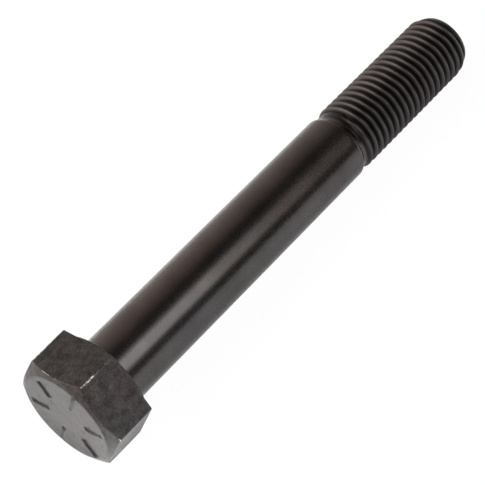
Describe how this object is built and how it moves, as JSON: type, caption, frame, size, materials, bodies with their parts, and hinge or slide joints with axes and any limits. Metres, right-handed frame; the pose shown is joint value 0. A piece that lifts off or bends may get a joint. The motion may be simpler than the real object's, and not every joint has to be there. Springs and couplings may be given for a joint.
{
  "type": "hex bolt",
  "caption": "Large partly threaded hex bolt in dark steel, with a washer-faced hexagon head, a long plain shank, a rolled right-hand thread and a tapered point.",
  "frame": {"origin": "centre of the bearing face under the head, on the bolt's axis", "axes": "+X along the shank from the bearing face to the thread point, +Z along the normal of the upper wrench flat as the bolt lies on its side, +Y to complete a right-handed frame, through two corners of the hexagon"},
  "size_m": [0.209, 0.044, 0.0382],
  "materials": {
    "head_steel": "dark heat-treated steel, oiled, with scale on the flats and a paler struck crown",
    "shank_steel": "dark heat-treated steel, oiled, smooth and glossy",
    "thread_steel": "dark heat-treated steel, oiled, with rolled crests"
  },
  "bodies": {
    "root": {"head": "head_steel", "shank": "shank_steel", "thread": "thread_steel"}
  },
  "joints": []
}
